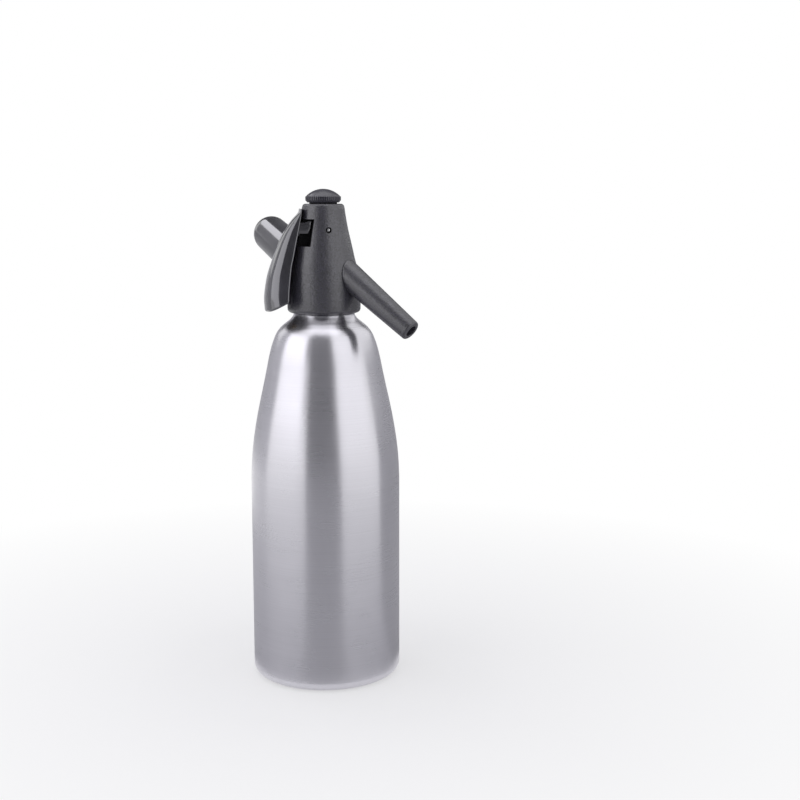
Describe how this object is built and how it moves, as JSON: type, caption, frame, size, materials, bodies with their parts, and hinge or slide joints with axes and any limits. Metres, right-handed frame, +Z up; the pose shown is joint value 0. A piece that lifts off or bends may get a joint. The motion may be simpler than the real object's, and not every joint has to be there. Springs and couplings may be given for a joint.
{
  "type": "soda siphon",
  "caption": "Upright aluminium siphon bottle with a tapered screw-on head, squeeze lever, slanted spout, gas charger holder and knurled top cap.",
  "frame": {"origin": "centre of the bottle's flat base, on the bottle's axis", "axes": "+Z up along the bottle's axis; the lever points to -X, turned 6 degrees towards -Y; the spout points to +X and -Y; the charger holder points to -X and +Y"},
  "size_m": [0.108, 0.1289, 0.321],
  "materials": {
    "brushed_aluminium": "brushed along the bottle",
    "grained_charcoal": "moulded with a fine grain",
    "cap_charcoal": "satin",
    "gloss_black": "glossy",
    "bright_steel": "bright",
    "valve_brass": "machined",
    "seal_rubber": "matt",
    "milky_plastic": "milky",
    "white_plastic": "satin"
  },
  "bodies": {
    "bottle": {"bottle": "brushed_aluminium", "bottle_shoulder": "brushed_aluminium", "measuring_tube": "milky_plastic"},
    "head": {"head_housing": "grained_charcoal", "head_gasket": "seal_rubber", "spout": "grained_charcoal", "spout_seal": "seal_rubber", "valve_body": "valve_brass", "body_seal": "seal_rubber", "gland_nut": "valve_brass", "stem_seal": "seal_rubber", "tube_adapter": "white_plastic", "riser_tube": "milky_plastic", "inlet_body": "valve_brass", "piercing_pin": "bright_steel", "charger_seal": "seal_rubber", "inlet_check_disc": "seal_rubber", "pivot_pin": "bright_steel", "cap_seal": "seal_rubber", "relief_plug": "valve_brass", "valve_spring": "bright_steel", "relief_spring": "bright_steel"},
    "lever": {"lever": "gloss_black"},
    "stem": {"valve_stem": "bright_steel", "valve_washer": "seal_rubber", "stem_button": "bright_steel"},
    "cap": {"top_cap": "cap_charcoal"},
    "holder": {"charger_holder": "gloss_black"},
    "poppet": {"relief_poppet": "seal_rubber"}
  },
  "joints": [
    {"name": "head_lift", "type": "slide", "parent": "bottle", "child": "head", "axis": [0, 0, 1], "range_m": [0, 0.25]},
    {"name": "lever_squeeze", "type": "hinge", "parent": "head", "child": "lever", "pos_m": [0.00169, 0.00018, 0.295], "axis": [0.1045, -0.9945, 0], "range_deg": [0, 8.5], "stiffness_Nm_per_rad": 0.25, "springref_deg": -8.59},
    {"name": "stem_push", "type": "slide", "parent": "head", "child": "stem", "axis": [0, 0, -1], "range_m": [0, 0.0007], "deforming": ["valve_spring"]},
    {"name": "top_cap_lift", "type": "slide", "parent": "head", "child": "cap", "axis": [0, 0, 1], "range_m": [0, 0.012]},
    {"name": "charger_holder_pull", "type": "slide", "parent": "head", "child": "holder", "axis": [-0.44, 0.8276, 0.3486], "range_m": [0, 0.075]},
    {"name": "relief_lift", "type": "slide", "parent": "head", "child": "poppet", "axis": [0.6691, 0.7431, 0], "range_m": [0, 0.0006], "stiffness_N_per_m": 500, "springref_m": -0.003, "deforming": ["relief_spring"]}
  ],
  "couplings": [
    {"joint": "stem_push", "follows": "lever_squeeze", "m_per_rad": 0.0047}
  ]
}
